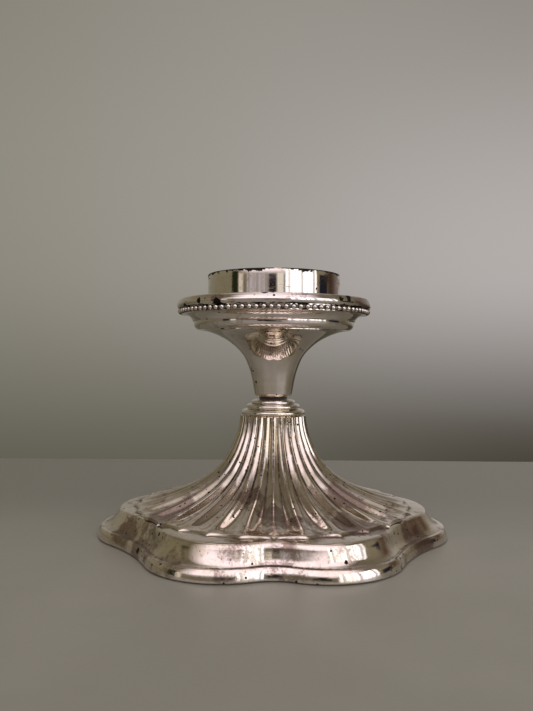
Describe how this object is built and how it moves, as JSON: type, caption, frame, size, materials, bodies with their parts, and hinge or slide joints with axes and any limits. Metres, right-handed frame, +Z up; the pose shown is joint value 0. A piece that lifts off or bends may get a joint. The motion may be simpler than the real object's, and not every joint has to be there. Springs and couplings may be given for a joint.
{
  "type": "candlestick",
  "caption": "Low silver-plated candlestick with a lobed fluted foot, a beaded drip tray and a wide cup for a pillar candle; the upper part unscrews from the foot.",
  "frame": {"origin": "middle of the underside of the foot, on the candle axis", "axes": "+Z up along the candle axis; the foot is widest along X"},
  "size_m": [0.1636, 0.1496, 0.1221],
  "materials": {
    "foot_silver": "silver plate over brass, tarnished and pitted",
    "collar_silver": "silver plate over brass, worn bright on the steps",
    "cone_silver": "silver plate over brass, polished",
    "tray_silver": "silver plate over brass, polished, chipped on the rim",
    "bead_silver": "silver plate over brass, dark tarnish between beads",
    "cup_silver": "silver plate over brass, polished, brown tarnish at one side",
    "plate_steel": "thin rolled steel, dull",
    "felt": "dark green wool felt",
    "bush_brass": "turned brass, dull",
    "washer_steel": "plain steel",
    "nut_brass": "turned brass, dull",
    "neck_fibre": "black fibre or leather, greasy",
    "stem_nut_steel": "plain steel, dark",
    "head_washer_steel": "plain steel",
    "screw_steel": "plain steel, slightly oily"
  },
  "bodies": {
    "foot": {"foot_shell": "foot_silver", "base_plate": "plate_steel", "felt_pad": "felt", "neck_collar": "collar_silver", "threaded_bush": "bush_brass", "crown_washer": "washer_steel", "bush_nut": "nut_brass"},
    "washer": {"neck_washer": "neck_fibre"},
    "holder": {"socket_cone": "cone_silver", "stem_nut": "stem_nut_steel", "drip_tray": "tray_silver", "bead_border": "bead_silver", "candle_cup": "cup_silver", "head_washer": "head_washer_steel", "clamp_screw": "screw_steel"}
  },
  "joints": [
    {"name": "holder_lift", "type": "slide", "parent": "foot", "child": "washer", "axis": [0, 0, 1], "range_m": [0, 0.0125]},
    {"name": "holder_unscrew", "type": "hinge", "parent": "washer", "child": "holder", "pos_m": [0, 0, 0.066], "axis": [0, 0, 1], "range_deg": [0, 3600]}
  ],
  "couplings": [
    {"joint": "holder_lift", "follows": "holder_unscrew", "m_per_rad": 0.00019894}
  ]
}
